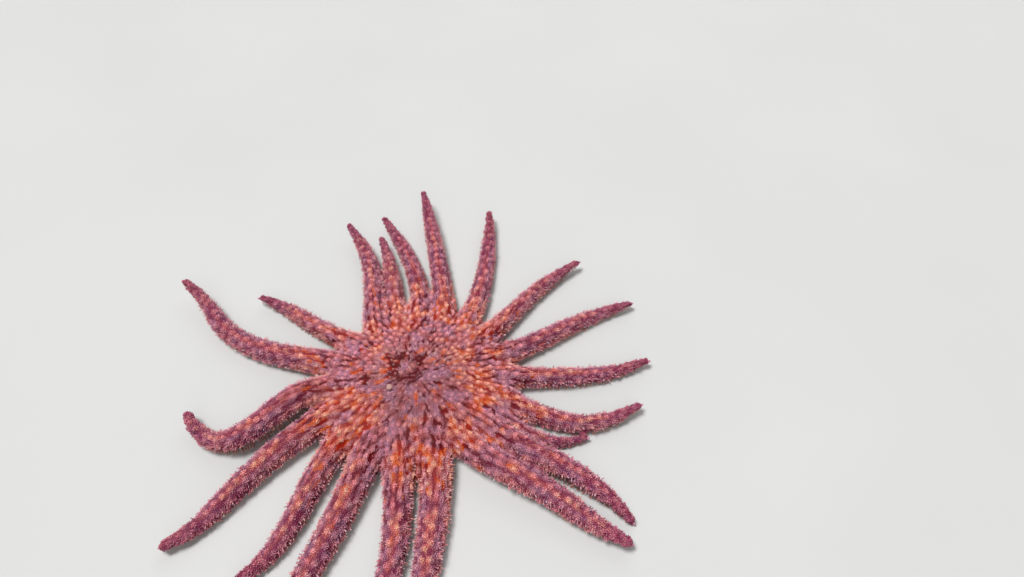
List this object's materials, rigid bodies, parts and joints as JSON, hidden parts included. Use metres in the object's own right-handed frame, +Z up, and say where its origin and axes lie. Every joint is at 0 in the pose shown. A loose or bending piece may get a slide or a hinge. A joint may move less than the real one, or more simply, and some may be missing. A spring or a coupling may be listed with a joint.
{
  "type": "sea star",
  "caption": "Life-size sunflower sea star lying on the floor: a domed round disc with a ring of long tapering arms, their undersides grooved.",
  "frame": {"origin": "on the floor, under the middle of the whole star's bounding box; the disc's centre is 21 mm along +X and 2 mm along -Y from it", "axes": "+Z up out of the disc's back, +X to the right and +Y away from a viewer who looks along +Y; the madreporite lies to that viewer's left"},
  "size_m": [0.6448, 0.684, 0.049],
  "materials": {
    "skin": "soft rough pink and purple skin with orange blotches",
    "mouth": "soft pale membrane",
    "sieve_plate": "pale chalky plate with fine winding grooves"
  },
  "bodies": {
    "root": {"arm_01_inner": "skin", "arm_01_outer": "skin", "arm_02_inner": "skin", "arm_02_outer": "skin", "arm_03_inner": "skin", "arm_03_outer": "skin", "arm_04_inner": "skin", "arm_04_outer": "skin", "arm_05_inner": "skin", "arm_05_outer": "skin", "arm_06_inner": "skin", "arm_06_outer": "skin", "arm_07_inner": "skin", "arm_07_outer": "skin", "arm_08_inner": "skin", "arm_08_outer": "skin", "arm_09_inner": "skin", "arm_09_outer": "skin", "arm_10_inner": "skin", "arm_10_outer": "skin", "arm_11_inner": "skin", "arm_11_outer": "skin", "arm_12_inner": "skin", "arm_12_outer": "skin", "arm_13_inner": "skin", "arm_13_outer": "skin", "arm_14_inner": "skin", "arm_14_outer": "skin", "arm_15_inner": "skin", "arm_15_outer": "skin", "arm_16_inner": "skin", "arm_16_outer": "skin", "arm_17_inner": "skin", "arm_17_outer": "skin", "arm_18_inner": "skin", "arm_18_outer": "skin", "arm_19_inner": "skin", "arm_19_outer": "skin", "arm_20_inner": "skin", "arm_20_outer": "skin", "disc": "skin", "madreporite": "sieve_plate", "mouth": "mouth"}
  },
  "joints": []
}
